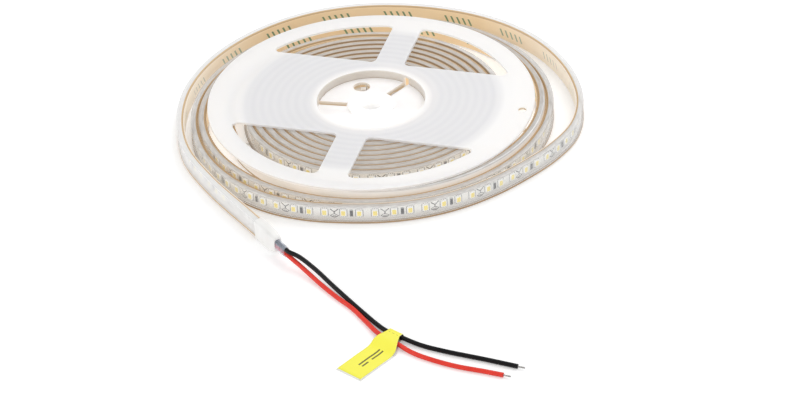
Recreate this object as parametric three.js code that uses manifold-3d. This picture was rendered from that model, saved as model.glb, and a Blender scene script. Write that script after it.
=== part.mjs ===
// LED strip light on its storage reel, in millimetres, +Z up.
// The reel lies flat, the wound coil sits between its two flanges, three loose
// turns stand round the rim, and the free end carries a cap and two lead wires.
import * as THREE from 'three';
import { mergeVertices } from 'three/addons/utils/BufferGeometryUtils.js';
import Module from 'manifold-3d';

const wasm = await Module();
wasm.setup();

// Strip: silicone sleeve, circuit and backing tape
const sleeveHeight = 10;
const sleeveThick = 3.5;
const sleeveBackWall = 0.6;
const sleeveFrontWall = 0.9;
const sleeveEdgeWall = 0.8;
const tapeThick = 0.5;
const tapeHeight = 9.3;
const tapeGap = 0.1;
const circuitThick = 0.3;
const circuitFit = 0.2;
const ledLength = 2.8;
const ledHeight = 3.5;
const ledRise = 0.8;
const segmentLength = 25;
const ledsPerSegment = 3;
const resistorLength = 1.6;
const resistorHeight = 3.2;
const resistorRise = 0.5;
const chipSink = 0.15;

// Winding
const turnGap = 0.35;
const woundTurns = 7.5;
const woundStep = 20;
const settleAngle = 90;
const dropStart = 186;
const dropAngle = 54;
const looseStep = 12;

// Reel: two like mouldings, face to face
const reelRadius = 85;
const flangeThick = 1.2;
const flangeEdge = 0.3;
const channelClearance = 0.55;
const hubBore = 28;
const hubWall = 1.5;
const hubGap = 0.3;
const hubFit = 0.3;
const recessDepth = 4.5;
const hubFloor = 1.5;
const halvesGap = 0.3;
const spindleRadius = 6;
const collarWall = 2;
const bossRadius = 12;
const bossRise = 1.6;
const driveHoleRadius = 4.4;
const driveHoleOffset = 20;
const driveHoleAngle = 103.6;
const hubSlotWidth = 3.4;
const hubSlotStart = 13;
const hubSlotAngle = 48;
const hubSlotCount = 3;
const windowInset = 10.5;
const windowChord = 35.5;
const spokeWidth = 15.6;
const windowCorner = 3;
const windowTip = 3;
const spokeAngle = 73.3;
const endHoleRadius = 2;
const endHoleInset = 5.5;
const endHoleAngle = -13;
const reelSegments = 54;
const hubSegments = 36;

// Ends of the strip
const plugLength = 5;
const plugHead = 1.5;
const plugFit = 0.15;
const capLength = 18;
const capPocket = 9;
const capOverlap = 6;
const capWall = 0.7;
const capFit = 0.15;
const capTaper = 0.72;
const capRound = 1.2;
const circuitTail = 1.6;

// Lead wires, their shrink tube and the flag label
const wireRadius = 1.15;
const wireSpacing = 2.5;
const wireSides = 8;
const wireStep = 6;
const wireStartGap = 0.3;
const shrinkWall = 0.35;
const shrinkFit = 0.2;
const shrinkStart = 11;
const shrinkLength = 15;
const tipRadius = 0.4;
const tipLength = 3.3;
const labelLeaf = 0.25;
const labelFit = 0.3;
const labelLength = 37.3;
const labelClear = 0.05;

const degrees = Math.PI / 180;
const channelHeight = sleeveHeight + 2 * channelClearance;
const reelHeight = channelHeight + 2 * flangeThick;
const half = reelHeight / 2;
const windowRadius = reelRadius - windowInset;
const endHoleOffset = reelRadius - endHoleInset;
const hubRadius = hubBore + hubWall;
const sleeveOffset = tapeThick / 2 + tapeGap;
const sleeveOuter = sleeveOffset + sleeveThick;
const turnPitch = sleeveOuter + tapeThick / 2 + turnGap;
const cavityInner = sleeveOffset + sleeveBackWall;
const cavityOuter = sleeveOuter - sleeveFrontWall;
const sectionCentre = sleeveOffset + sleeveThick / 2;
const woundBase = flangeThick + channelClearance;
const capRise = capFit + capWall + 0.05;

// Turns every triangle over if the closed mesh has its faces pointing in
function faceOut(position, triangles) {
  let volume = 0;
  const p = new THREE.Vector3();
  const q = new THREE.Vector3();
  const r = new THREE.Vector3();
  for (let i = 0; i < triangles.length; i += 3) {
    p.fromBufferAttribute(position, triangles[i]);
    q.fromBufferAttribute(position, triangles[i + 1]);
    r.fromBufferAttribute(position, triangles[i + 2]);
    volume += p.dot(q.cross(r));
  }
  if (volume < 0) {
    for (let i = 0; i < triangles.length; i += 3) {
      [triangles[i + 1], triangles[i + 2]] = [triangles[i + 2], triangles[i + 1]];
    }
  }
}

function solidOf(geometry) {
  const bare = geometry.index ? geometry.clone() : geometry;
  for (const name of Object.keys(bare.attributes)) {
    if (name !== 'position') bare.deleteAttribute(name);
  }
  const merged = mergeVertices(bare, 1e-4);
  const position = merged.attributes.position;
  const index = merged.index.array;
  const triangles = [];
  for (let i = 0; i < index.length; i += 3) {
    const [a, b, c] = [index[i], index[i + 1], index[i + 2]];
    if (a !== b && b !== c && c !== a) triangles.push(a, b, c);
  }
  faceOut(position, triangles);
  return new wasm.Manifold(new wasm.Mesh({
    numProp: 3,
    vertProperties: new Float32Array(position.array),
    triVerts: new Uint32Array(triangles),
  }));
}

function geometryOf(solid) {
  const mesh = solid.getMesh();
  const geometry = new THREE.BufferGeometry();
  const points = new Float32Array(mesh.numVert * 3);
  for (let i = 0; i < mesh.numVert; i++) {
    for (let k = 0; k < 3; k++) points[3 * i + k] = mesh.vertProperties[mesh.numProp * i + k];
  }
  geometry.setAttribute('position', new THREE.BufferAttribute(points, 3));
  geometry.setIndex(new THREE.BufferAttribute(new Uint32Array(mesh.triVerts), 1));
  return geometry;
}

function prism(shape, z0, z1, curveSegments = 6) {
  const geometry = new THREE.ExtrudeGeometry(shape, { depth: z1 - z0, bevelEnabled: false, curveSegments });
  return geometry.translate(0, 0, z0);
}

function disc(radius, x, y, z0, z1, sides) {
  return new THREE.CylinderGeometry(radius, radius, z1 - z0, sides)
    .rotateX(Math.PI / 2).translate(x, y, (z0 + z1) / 2);
}

// Lofts a closed section through a list of frames. A frame turns a section
// point into space, and a second section makes an open bore along the piece.
function loft(frames, outer, bore) {
  const points = [];
  const triangles = [];
  const rings = bore ? [outer, bore] : [outer];
  const start = [];
  rings.forEach((ring, k) => {
    start.push(points.length / 3);
    const n = ring(0).length;
    frames.forEach((frame, i) => {
      for (const uv of ring(i)) points.push(...frame(uv));
    });
    for (let i = 0; i + 1 < frames.length; i++) {
      for (let j = 0; j < n; j++) {
        const a = start[k] + i * n + j;
        const b = start[k] + i * n + (j + 1) % n;
        if (k === 0) triangles.push(a, b, b + n, a, b + n, a + n);
        else triangles.push(a, b + n, b, a, a + n, b + n);
      }
    }
  });
  const last = frames.length - 1;
  for (const [i, flip] of [[0, true], [last, false]]) {
    const contour = outer(i).map(([u, v]) => new THREE.Vector2(u, v));
    const hole = bore ? bore(i).map(([u, v]) => new THREE.Vector2(u, v)) : null;
    const faces = THREE.ShapeUtils.triangulateShape(contour, hole ? [hole] : []);
    const n = contour.length;
    const at = (k) => (k < n ? i * n + k : start[1] + i * hole.length + (k - n));
    for (const [a, b, c] of faces) {
      if (flip) triangles.push(at(a), at(c), at(b));
      else triangles.push(at(a), at(b), at(c));
    }
  }
  const geometry = new THREE.BufferGeometry();
  geometry.setAttribute('position', new THREE.BufferAttribute(new Float32Array(points), 3));
  faceOut(geometry.attributes.position, triangles);
  geometry.setIndex(triangles);
  return geometry;
}

// Route of the strip: the radius of the tape's middle at an angle that keeps
// counting up from turn to turn, anticlockwise seen from above. The wound turns
// are a spiral. Past them the table gives the slack in mm outside an even climb
// from the coil to the rim, then outside turns laid on the rim.
const leaveCoil = -459;
const woundStart = (hubRadius + hubGap) / Math.cos(woundStep / 2 * degrees) + tapeThick / 2;
const woundEnd = woundStart + turnPitch * woundTurns;
const woundAngle = leaveCoil - 360 * woundTurns;
const lateClimb = 1.8;
const looseSlack = [
  [leaveCoil, 0.3], [-360, 1.07], [-270, 0.87], [-180, 0.24], [-99, 0.48], [-45, 0.22],
  [0, 1.2], [25, 0.09], [50, -1.82], [75, -3.93], [100, -4.9], [125, -5.2], [150, -4.4],
  [170, -2.65], [191, -0.86], [213, -0.43], [236, -1.12], [261, -1.13], [310, -0.23], [360, 1.3],
  [385, 0.19], [403, -0.68], [420, -2.29], [440, -4.04], [460, -4.84], [485, -5.1], [500, -4.75],
  [513, -3.85], [526, -2.8], [540, -1.78], [555, -0.66], [572, 0.93], [590, 2.11], [604, 1.43],
  [621, -0.78], [650, -0.34], [668, 0.54], [679, 2.01], [687, 4.51], [698, 8.57], [706, 11.27],
  [716, 12.35], [736, 11.3], [761, 9.99], [793, 6.3], [806, 5.75], [818, 5.5], [831, 4.8],
  [860, 2.3], [900, 1.28], [918, 2.55], [929, 3.12],
];
const freeEndSlack = [[937.46, 4.7], [946.81, 8.36], [954.4, 13.15], [961.28, 19.66]];
const freeEndDirection = new THREE.Vector2(0.53, -0.848).normalize();

function smooth(t) {
  const k = Math.min(Math.max(t, 0), 1);
  return k * k * (3 - 2 * k);
}

function evenClimb(angle) {
  const climb = smooth(((angle - leaveCoil) / -leaveCoil) ** lateClimb);
  return woundEnd + (reelRadius - woundEnd) * climb + turnPitch * Math.max(angle, 0) / 360;
}

function slackAt(angle) {
  let k = 1;
  while (k < looseSlack.length - 2 && looseSlack[k + 1][0] < angle) k++;
  const [a, b, c] = [looseSlack[k - 1], looseSlack[k], looseSlack[k + 1]];
  const d = looseSlack[Math.min(k + 2, looseSlack.length - 1)];
  if (angle <= b[0]) return b[1] + (a[1] - b[1]) * (b[0] - angle) / (b[0] - a[0]);
  const span = c[0] - b[0];
  const t = (angle - b[0]) / span;
  const slopeB = (c[1] - a[1]) / (c[0] - a[0]) * span;
  const slopeC = d[0] > c[0] ? (d[1] - b[1]) / (d[0] - b[0]) * span : c[1] - b[1];
  const t2 = t * t;
  const t3 = t2 * t;
  const leaving = (2 * t3 - 3 * t2 + 1) * b[1] + (t3 - 2 * t2 + t) * slopeB;
  return leaving + (3 * t2 - 2 * t3) * c[1] + (t3 - t2) * slopeC;
}

function aroundReel(radius, angle, z) {
  return new THREE.Vector3(radius * Math.cos(angle * degrees), radius * Math.sin(angle * degrees), z);
}

const route = [];
for (let angle = woundAngle; angle < leaveCoil - 1; angle += woundStep) {
  route.push(aroundReel(woundStart + turnPitch * (angle - woundAngle) / 360, angle, woundBase));
}
for (let angle = leaveCoil; angle < 930; angle += angle < leaveCoil + 360 ? woundStep : looseStep) {
  const settle = smooth((angle - leaveCoil) / settleAngle);
  const follow = woundEnd + turnPitch * (angle - leaveCoil) / 360;
  const radius = follow + (evenClimb(angle) + slackAt(angle) - follow) * settle;
  route.push(aroundReel(radius, angle, woundBase * (1 - smooth((angle - dropStart) / dropAngle))));
}
freeEndSlack.forEach(([angle, slack], i) => {
  route.push(aroundReel(evenClimb(angle) + slack, angle, capRise * smooth((i + 1) / 3)));
});
const freeEnd = route[route.length - 1];
const capAlong = new THREE.Vector3(freeEndDirection.x, freeEndDirection.y, 0);
const capOut = new THREE.Vector3(freeEndDirection.y, -freeEndDirection.x, 0);
const sleeveRoute = [...route, freeEnd.clone().addScaledVector(capAlong, capOverlap)];
const circuitRoute = [...route, freeEnd.clone().addScaledVector(capAlong, capOverlap + circuitTail)];

// Frames whose first axis is the strip's outward side and second is up
function stripFrames(line) {
  return line.map((point, i) => {
    const before = line[Math.max(i - 1, 0)];
    const after = line[Math.min(i + 1, line.length - 1)];
    const ahead = new THREE.Vector2(after.x - point.x, after.y - point.y);
    const behind = new THREE.Vector2(point.x - before.x, point.y - before.y);
    if (ahead.lengthSq() === 0) ahead.copy(behind);
    if (behind.lengthSq() === 0) behind.copy(ahead);
    ahead.normalize();
    behind.normalize();
    const along = ahead.clone().add(behind).normalize();
    const miter = 1 / Math.max(along.dot(ahead), 0.5);
    return ([u, v]) => [point.x + along.y * u * miter, point.y - along.x * u * miter, point.z + v];
  });
}

function trimStart(line, distance) {
  const rest = line.slice();
  let left = distance;
  while (rest[0].distanceTo(rest[1]) < left) {
    left -= rest[0].distanceTo(rest[1]);
    rest.shift();
  }
  rest[0] = rest[0].clone().lerp(rest[1], left / rest[0].distanceTo(rest[1]));
  return rest;
}

function rectangle(u0, u1, v0, v1) {
  return [[u0, v0], [u1, v0], [u1, v1], [u0, v1]];
}

// Silicone sleeve, an extruded tube that is open at both ends
const sleeveSection = rectangle(sleeveOffset, sleeveOuter, 0, sleeveHeight);
const cavitySection = rectangle(cavityInner, cavityOuter, sleeveEdgeWall, sleeveHeight - sleeveEdgeWall);
const sleeveLine = trimStart(sleeveRoute, plugHead + plugFit);
const sleeveGeometry = loft(stripFrames(sleeveLine), () => sleeveSection, () => cavitySection);

// Backing tape with its liner, on the inner side of the sleeve
const tapeBase = (sleeveHeight - tapeHeight) / 2;
const tapeSection = rectangle(-tapeThick / 2, tapeThick / 2, tapeBase, tapeBase + tapeHeight);
const tapeGeometry = loft(stripFrames(trimStart(route, plugHead + plugFit)), () => tapeSection);

// Flexible circuit inside the sleeve, with its chips on the exposed outer turn
const circuitInner = cavityInner + 0.15;
const circuitOuter = circuitInner + circuitThick;
const circuitBase = sleeveEdgeWall + circuitFit;
const circuitTop = sleeveHeight - circuitBase;
const circuitSection = rectangle(circuitInner, circuitOuter, circuitBase, circuitTop);
const circuitLine = trimStart(circuitRoute, plugHead + plugFit + plugLength + 1);
let circuit = solidOf(loft(stripFrames(circuitLine), () => circuitSection));

function chip(line, distance, length, height, rise) {
  let left = distance;
  let i = line.length - 1;
  while (i > 1 && line[i].distanceTo(line[i - 1]) < left) {
    left -= line[i].distanceTo(line[i - 1]);
    i--;
  }
  const along = new THREE.Vector3().subVectors(line[i], line[i - 1]).normalize();
  const foot = line[i].clone().addScaledVector(along, -left);
  const depth = rise + chipSink;
  const geometry = new THREE.BoxGeometry(depth, length, height);
  geometry.rotateZ(Math.atan2(-along.x, along.y));
  const out = circuitOuter - chipSink + depth / 2;
  return geometry.translate(foot.x + along.y * out, foot.y - along.x * out, foot.z + sleeveHeight / 2);
}

const exposedLength = 620;
const chips = [];
for (let start = 14; start < exposedLength; start += segmentLength) {
  for (let k = 0; k < ledsPerSegment; k++) {
    const at = start + (k + 0.5) * segmentLength / ledsPerSegment;
    chips.push(solidOf(chip(route, at, ledLength, ledHeight, ledRise)));
  }
  const between = start + segmentLength / ledsPerSegment;
  chips.push(solidOf(chip(route, between, resistorLength, resistorHeight, resistorRise)));
}
circuit = wasm.Manifold.union([circuit, ...chips]);

// Plug in the inner end of the sleeve
const plugFrames = stripFrames(route.slice(0, 2));
const first = new THREE.Vector3().subVectors(route[1], route[0]).normalize();
const plugAt = (s) => ([u, v]) => {
  const base = plugFrames[0]([u, v]);
  return [base[0] + first.x * s, base[1] + first.y * s, base[2]];
};
const stemBase = sleeveEdgeWall + plugFit;
const plugStem = rectangle(cavityInner + plugFit, cavityOuter - plugFit, stemBase, sleeveHeight - stemBase);
const plug = solidOf(loft([plugAt(plugHead - 0.5), plugAt(plugHead + plugLength)], () => plugStem))
  .add(solidOf(loft([plugAt(0), plugAt(plugHead)], () => sleeveSection)));

// Reel half: a flange and its hub, each a revolved profile, then windows, slots and holes
const flangeUnder = half - flangeThick;
const flangeBore = hubRadius + hubFit;
const floorTop = half - recessDepth;
const floorUnder = floorTop - hubFloor;
const seat = halvesGap / 2;
const flangeProfile = [
  [flangeBore, flangeUnder],
  [reelRadius, flangeUnder],
  [reelRadius, half - flangeEdge],
  [reelRadius - flangeEdge, half],
  [flangeBore, half],
  [flangeBore, flangeUnder],
].map(([r, z]) => new THREE.Vector2(r, z));
const hubProfile = [
  [spindleRadius, seat],
  [spindleRadius + collarWall, seat],
  [spindleRadius + collarWall, floorUnder],
  [hubBore, floorUnder],
  [hubBore, seat],
  [hubRadius, seat],
  [hubRadius, half],
  [hubBore + flangeEdge, half],
  [hubBore, half - flangeEdge],
  [hubBore, floorTop],
  [bossRadius, floorTop],
  [bossRadius, floorTop + bossRise],
  [spindleRadius, floorTop + bossRise],
  [spindleRadius, seat],
].map(([r, z]) => new THREE.Vector2(r, z));

function windowShape() {
  const side = spokeWidth / 2;
  const shape = new THREE.Shape();
  const tipX = Math.sqrt((windowRadius - windowTip) ** 2 - (windowChord + windowTip) ** 2);
  const tipAngle = Math.atan2(windowChord + windowTip, tipX);
  const topY = Math.sqrt((windowRadius - windowCorner) ** 2 - (side + windowCorner) ** 2);
  const topAngle = Math.atan2(topY, side + windowCorner);
  shape.moveTo(side, windowChord + windowCorner);
  shape.absarc(side + windowCorner, windowChord + windowCorner, windowCorner, Math.PI, 1.5 * Math.PI);
  shape.absarc(tipX, windowChord + windowTip, windowTip, -Math.PI / 2, tipAngle);
  const sweep = 10;
  for (let i = 1; i < sweep; i++) {
    const angle = tipAngle + (topAngle - tipAngle) * i / sweep;
    shape.lineTo(windowRadius * Math.cos(angle), windowRadius * Math.sin(angle));
  }
  shape.absarc(side + windowCorner, topY, windowCorner, topAngle, Math.PI);
  shape.closePath();
  return shape;
}

function flange() {
  let solid = solidOf(new THREE.LatheGeometry(flangeProfile, reelSegments).rotateX(Math.PI / 2));
  const cut = prism(windowShape(), flangeUnder - 1, half + 1, 4);
  for (const [x, y] of [[1, 1], [-1, 1], [-1, -1], [1, -1]]) {
    const turned = cut.clone().scale(x, y, 1).rotateZ((spokeAngle - 90) * degrees);
    solid = solid.subtract(solidOf(turned));
  }
  const end = endHoleAngle * degrees;
  const [endX, endY] = [endHoleOffset * Math.cos(end), endHoleOffset * Math.sin(end)];
  const hole = disc(endHoleRadius, endX, endY, 0, half + 1, 14);
  return geometryOf(solid.subtract(solidOf(hole)));
}

function hub() {
  let solid = solidOf(new THREE.LatheGeometry(hubProfile, hubSegments).rotateX(Math.PI / 2));
  for (let k = 0; k < hubSlotCount; k++) {
    const reach = hubRadius + hubGap - hubSlotStart;
    const slot = new THREE.BoxGeometry(reach, hubSlotWidth, flangeUnder + 1);
    slot.translate(hubSlotStart + reach / 2, 0, flangeUnder / 2 - 0.5);
    slot.rotateZ((hubSlotAngle + 360 * k / hubSlotCount) * degrees);
    solid = solid.subtract(solidOf(slot));
  }
  const drive = driveHoleAngle * degrees;
  const [driveX, driveY] = [driveHoleOffset * Math.cos(drive), driveHoleOffset * Math.sin(drive)];
  const hole = disc(driveHoleRadius, driveX, driveY, 0, half, 20);
  return geometryOf(solid.subtract(solidOf(hole)));
}

// Lead-end cap: a pocket slides over the sleeve, a bore passes the wires
function capAt(s) {
  return ([u, v]) => [
    freeEnd.x + capAlong.x * s + capOut.x * u,
    freeEnd.y + capAlong.y * s + capOut.y * u,
    freeEnd.z + v,
  ];
}
function roundedBox(halfU, halfV, round) {
  const cut = round * 0.3;
  const ring = [
    [halfU - round, -halfV], [halfU - cut, -halfV + cut], [halfU, -halfV + round],
    [halfU, halfV - round], [halfU - cut, halfV - cut], [halfU - round, halfV],
    [-halfU + round, halfV], [-halfU + cut, halfV - cut], [-halfU, halfV - round],
    [-halfU, -halfV + round], [-halfU + cut, -halfV + cut], [-halfU + round, -halfV],
  ];
  return ring.map(([u, v]) => [u + sectionCentre, v + sleeveHeight / 2]);
}
function stadium(halfU, halfV) {
  const ring = [];
  for (const [from, centre] of [[0, halfV - halfU], [180, halfU - halfV]]) {
    for (let k = 0; k <= 4; k++) {
      const angle = (from + 45 * k) * degrees;
      const [u, v] = [halfU * Math.cos(angle), centre + halfU * Math.sin(angle)];
      ring.push([sectionCentre + u, sleeveHeight / 2 + v]);
    }
  }
  return ring;
}
const pocketU = sleeveThick / 2 + capFit;
const pocketV = sleeveHeight / 2 + capFit;
const capU = pocketU + capWall;
const capV = pocketV + capWall;
const shrinkInnerU = wireRadius + shrinkFit;
const shrinkInnerV = wireSpacing / 2 + wireRadius + shrinkFit;
const shrinkOuterU = shrinkInnerU + shrinkWall;
const shrinkOuterV = shrinkInnerV + shrinkWall;
const capEndScale = [1, 1, 0.5 + capTaper / 2, capTaper];
const capStations = [0, capLength * 0.62, capLength * 0.85, capLength];
const capBody = loft(
  capStations.map(capAt),
  (i) => roundedBox(capU * (0.4 + 0.6 * capEndScale[i]), capV * capEndScale[i], capRound),
);
const pocket = loft([capAt(-1), capAt(capPocket)], () => rectangle(
  sectionCentre - pocketU, sectionCentre + pocketU, sleeveHeight / 2 - pocketV, sleeveHeight / 2 + pocketV,
));
const boreSection = stadium(shrinkOuterU + capFit, shrinkOuterV + capFit);
const wireBore = loft([capAt(capPocket - 1), capAt(capLength + 1)], () => boreSection);
const leadCap = solidOf(capBody).subtract(solidOf(pocket)).subtract(solidOf(wireBore));

// Clear shrink tube over the two wires where they leave the cap
const shrinkTube = loft(
  [capAt(shrinkStart), capAt(shrinkStart + shrinkLength)],
  () => stadium(shrinkOuterU, shrinkOuterV),
  () => stadium(shrinkInnerU, shrinkInnerV),
);

// Wires: straight through the cap and tube, then down and along the table,
// by points measured from the tape's free end
function wireLine(side, points) {
  const v = sleeveHeight / 2 + side * wireSpacing / 2;
  const from = capOverlap + circuitTail + wireStartGap;
  const to = shrinkStart + shrinkLength + 1.5;
  const stations = [from, (from + to) / 2, to - 3, to];
  const lead = stations.map((s) => new THREE.Vector3(...capAt(s)([sectionCentre, v])));
  return [...lead, ...points.map(([x, y, z]) => new THREE.Vector3(freeEnd.x + x, freeEnd.y + y, z))];
}
const floorZ = wireRadius + labelClear;
const labelZ = wireRadius + labelLeaf + labelFit + labelClear;
const blackPoints = [
  [17.9, -28.2, 6.5], [26.0, -37.0, 4.4], [33.4, -47.2, 2.5], [41.0, -58.5, floorZ + 0.2],
  [48.1, -69.8, floorZ], [54.2, -79.5, floorZ + 0.1], [58.64, -85.96, labelZ], [66.3, -92.5, labelZ],
  [74.9, -98.4, floorZ], [85.5, -103.9, floorZ], [104.2, -111.9, floorZ], [119.1, -118.6, floorZ],
];
const redPoints = [
  [17.7, -30.4, 3.4], [28.2, -45.2, floorZ + 0.3], [35.5, -55.8, floorZ], [43.1, -66.1, floorZ],
  [49.4, -77.4, floorZ + 0.1], [55.13, -88.05, labelZ], [64.4, -97.76, labelZ], [69.6, -102.9, floorZ],
  [75.9, -107.9, floorZ], [89.8, -115.8, floorZ], [103.8, -121.3, floorZ], [112.1, -124.7, floorZ],
];
const blackCurve = new THREE.CatmullRomCurve3(wireLine(1, blackPoints));
const redCurve = new THREE.CatmullRomCurve3(wireLine(-1, redPoints));

function wireFrames(curve, steps) {
  const up = new THREE.Vector3(0, 0, 1);
  return Array.from({ length: steps + 1 }, (_, i) => {
    const point = curve.getPointAt(i / steps);
    const along = curve.getTangentAt(i / steps);
    const side = new THREE.Vector3().crossVectors(along, up).normalize();
    const top = new THREE.Vector3().crossVectors(side, along);
    return ([u, v]) => [
      point.x + side.x * u + top.x * v,
      point.y + side.y * u + top.y * v,
      point.z + side.z * u + top.z * v,
    ];
  });
}
function circle(radius, sides) {
  return Array.from({ length: sides }, (_, k) => {
    const angle = (k + 0.5) * 2 * Math.PI / sides;
    return [radius * Math.cos(angle), radius * Math.sin(angle)];
  });
}
function wire(curve) {
  const steps = Math.round(curve.getLength() / wireStep);
  return loft(wireFrames(curve, steps), () => circle(wireRadius, wireSides));
}
function tinnedTip(curve) {
  const end = curve.getPointAt(1);
  const along = curve.getTangentAt(1).setZ(0).normalize();
  const from = end.clone().addScaledVector(along, wireStartGap);
  const line = new THREE.LineCurve3(from, from.clone().addScaledVector(along, tipLength));
  return loft(wireFrames(line, 1), () => circle(tipRadius, wireSides));
}

// Flag label: a folded strip round both wires, cut to its outline
const labelOrigin = new THREE.Vector2(freeEnd.x + 64.15, freeEnd.y - 88.8);
const labelOut = new THREE.Vector2(-0.67, -0.742).normalize();
const labelAcross = new THREE.Vector2(-labelOut.y, labelOut.x);
const blackAt = 1.6;
const redAt = 6.5;
const leafJoin = 7;
const labelTop = labelZ + wireRadius + labelFit + labelLeaf;
const labelFold = blackAt - wireRadius - labelFit - labelLeaf;
const leafEnd = redAt + leafJoin;
const labelOuter = [
  [labelFold + 0.5, labelClear], [labelLength, labelClear], [labelLength, labelClear + 2 * labelLeaf],
  [leafEnd, labelClear + 2 * labelLeaf], [redAt + wireRadius + 0.3, labelTop], [labelFold + 0.7, labelTop],
  [labelFold, labelTop - 0.7], [labelFold, labelClear + 0.5],
];
const labelInner = [
  [labelFold + 0.6, labelClear + labelLeaf], [leafEnd - 1.3, labelClear + labelLeaf],
  [redAt + wireRadius + 0.2, labelTop - labelLeaf], [labelFold + 0.8, labelTop - labelLeaf],
  [labelFold + labelLeaf, labelTop - 0.8], [labelFold + labelLeaf, labelClear + 0.6],
];
function labelAt(w) {
  return ([t, z]) => [
    labelOrigin.x + labelOut.x * t + labelAcross.x * w,
    labelOrigin.y + labelOut.y * t + labelAcross.y * w,
    z,
  ];
}
const collarHalf = 3.9;
const flagLeft = -5.7;
const flagRight = 8.6;
const labelFrames = [labelAt(flagLeft - 1), labelAt(flagRight + 1)];
const folded = solidOf(loft(labelFrames, () => labelOuter, () => labelInner));
const outline = [
  [-1, -collarHalf], [3, -collarHalf], [10.2, flagLeft], [labelLength + 1, flagLeft],
  [labelLength + 1, flagRight], [11.5, flagRight], [3, collarHalf], [-1, collarHalf],
];
const outlineShape = new THREE.Shape(outline.map(([t, w]) => {
  const [x, y] = labelAt(w)([t, 0]);
  return new THREE.Vector2(x, y);
}));
const label = folded.intersect(solidOf(prism(outlineShape, -1, labelTop + 1)));

function piece(name, geometry, color, roughness, metalness = 0) {
  const mesh = new THREE.Mesh(geometry, new THREE.MeshStandardMaterial({ color, roughness, metalness }));
  mesh.name = name;
  return mesh;
}

const group = new THREE.Group();
const body = new THREE.Group();

const spokeAxis = new THREE.Vector3(Math.cos(spokeAngle * degrees), Math.sin(spokeAngle * degrees), 0);
const upperHalf = new THREE.Group();
const lowerHalf = new THREE.Group();
upperHalf.position.z = half;
lowerHalf.position.z = half;
lowerHalf.quaternion.setFromAxisAngle(spokeAxis, Math.PI);
for (const [side, place] of [['upper', upperHalf], ['lower', lowerHalf]]) {
  place.add(piece(`${side}_flange`, flange(), 0xf4f4f3, 0.45));
  place.add(piece(`${side}_hub`, hub(), 0xf4f4f3, 0.45));
  body.add(place);
}

body.add(piece('silicone_sleeve', sleeveGeometry, 0xd5d2cd, 0.35));
body.add(piece('flex_circuit', geometryOf(circuit), 0xf1efe6, 0.5));
body.add(piece('backing_tape', tapeGeometry, 0xdaba8f, 0.6));
body.add(piece('inner_end_plug', geometryOf(plug), 0xdddad4, 0.4));
body.add(piece('lead_end_cap', geometryOf(leadCap), 0xefeeea, 0.4));
body.add(piece('shrink_tube', shrinkTube, 0xdfe6ee, 0.2));

const cords = new THREE.Group();
cords.add(piece('black_wire', wire(blackCurve), 0x1e1e20, 0.4));
cords.add(piece('red_wire', wire(redCurve), 0xe1413a, 0.4));
cords.add(piece('black_tinned_end', tinnedTip(blackCurve), 0xc9cacc, 0.3, 0.9));
cords.add(piece('red_tinned_end', tinnedTip(redCurve), 0xc9cacc, 0.3, 0.9));
cords.add(piece('wire_label', geometryOf(label), 0xfff45a, 0.55));

// The origin is under the middle of everything but the loose wires
body.updateMatrixWorld(true);
const bounds = new THREE.Box3().setFromObject(body, true);
const middle = bounds.getCenter(new THREE.Vector3());
group.add(body, cords);
group.children.forEach((child) => child.position.set(-middle.x, -middle.y, -bounds.min.z));

export default group;
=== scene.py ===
import math

import bpy
import numpy as np
from mathutils import Matrix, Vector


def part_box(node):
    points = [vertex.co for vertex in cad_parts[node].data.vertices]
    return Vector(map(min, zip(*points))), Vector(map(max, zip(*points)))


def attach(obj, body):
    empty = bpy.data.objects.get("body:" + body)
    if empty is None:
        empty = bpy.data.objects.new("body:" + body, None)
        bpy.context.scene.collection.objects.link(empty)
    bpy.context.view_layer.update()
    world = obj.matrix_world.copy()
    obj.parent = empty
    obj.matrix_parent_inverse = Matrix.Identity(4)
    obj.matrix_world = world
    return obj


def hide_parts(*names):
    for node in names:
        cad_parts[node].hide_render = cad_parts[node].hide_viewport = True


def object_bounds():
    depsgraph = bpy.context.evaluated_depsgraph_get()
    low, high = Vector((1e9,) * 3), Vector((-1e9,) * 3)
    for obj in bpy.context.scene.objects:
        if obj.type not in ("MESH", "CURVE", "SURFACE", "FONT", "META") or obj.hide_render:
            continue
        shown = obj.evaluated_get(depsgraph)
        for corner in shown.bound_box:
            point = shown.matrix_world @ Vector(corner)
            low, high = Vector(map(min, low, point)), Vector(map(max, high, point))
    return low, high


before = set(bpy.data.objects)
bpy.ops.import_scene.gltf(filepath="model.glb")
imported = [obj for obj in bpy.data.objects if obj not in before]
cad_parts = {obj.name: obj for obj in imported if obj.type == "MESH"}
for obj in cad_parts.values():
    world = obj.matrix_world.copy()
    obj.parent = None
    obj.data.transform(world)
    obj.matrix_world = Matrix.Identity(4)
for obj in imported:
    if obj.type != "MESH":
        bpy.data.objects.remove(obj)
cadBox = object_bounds()
cadLow, cadHigh = (np.array(corner) for corner in cadBox)
mm = 0.001
fullTurn = 2 * math.pi
upward = np.array([0.0, 0.0, 1.0])
flangeLow, flangeHigh = (np.array(corner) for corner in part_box("upper_flange"))
reelCentre = np.array([(flangeLow[0] + flangeHigh[0]) / 2, (flangeLow[1] + flangeHigh[1]) / 2, 0.0])
print("frame loaded, reel axis at", reelCentre.round(5))


def meshFromLists(name, points, faces):
    mesh = bpy.data.meshes.new(name)
    mesh.from_pydata(points.tolist(), [], faces)
    mesh.shade_smooth()
    mesh.update()
    return mesh


def addObject(name, data):
    item = bpy.data.objects.new(name, data)
    bpy.context.scene.collection.objects.link(item)
    return item


# Stands a camera or a lamp at a place, with its right side, its top and its back along three directions
def stand(item, place, side, top, back):
    turn = Matrix(np.stack([side, top, back], axis=1).tolist())
    item.matrix_world = Matrix.Translation(place) @ turn.to_4x4()


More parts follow.
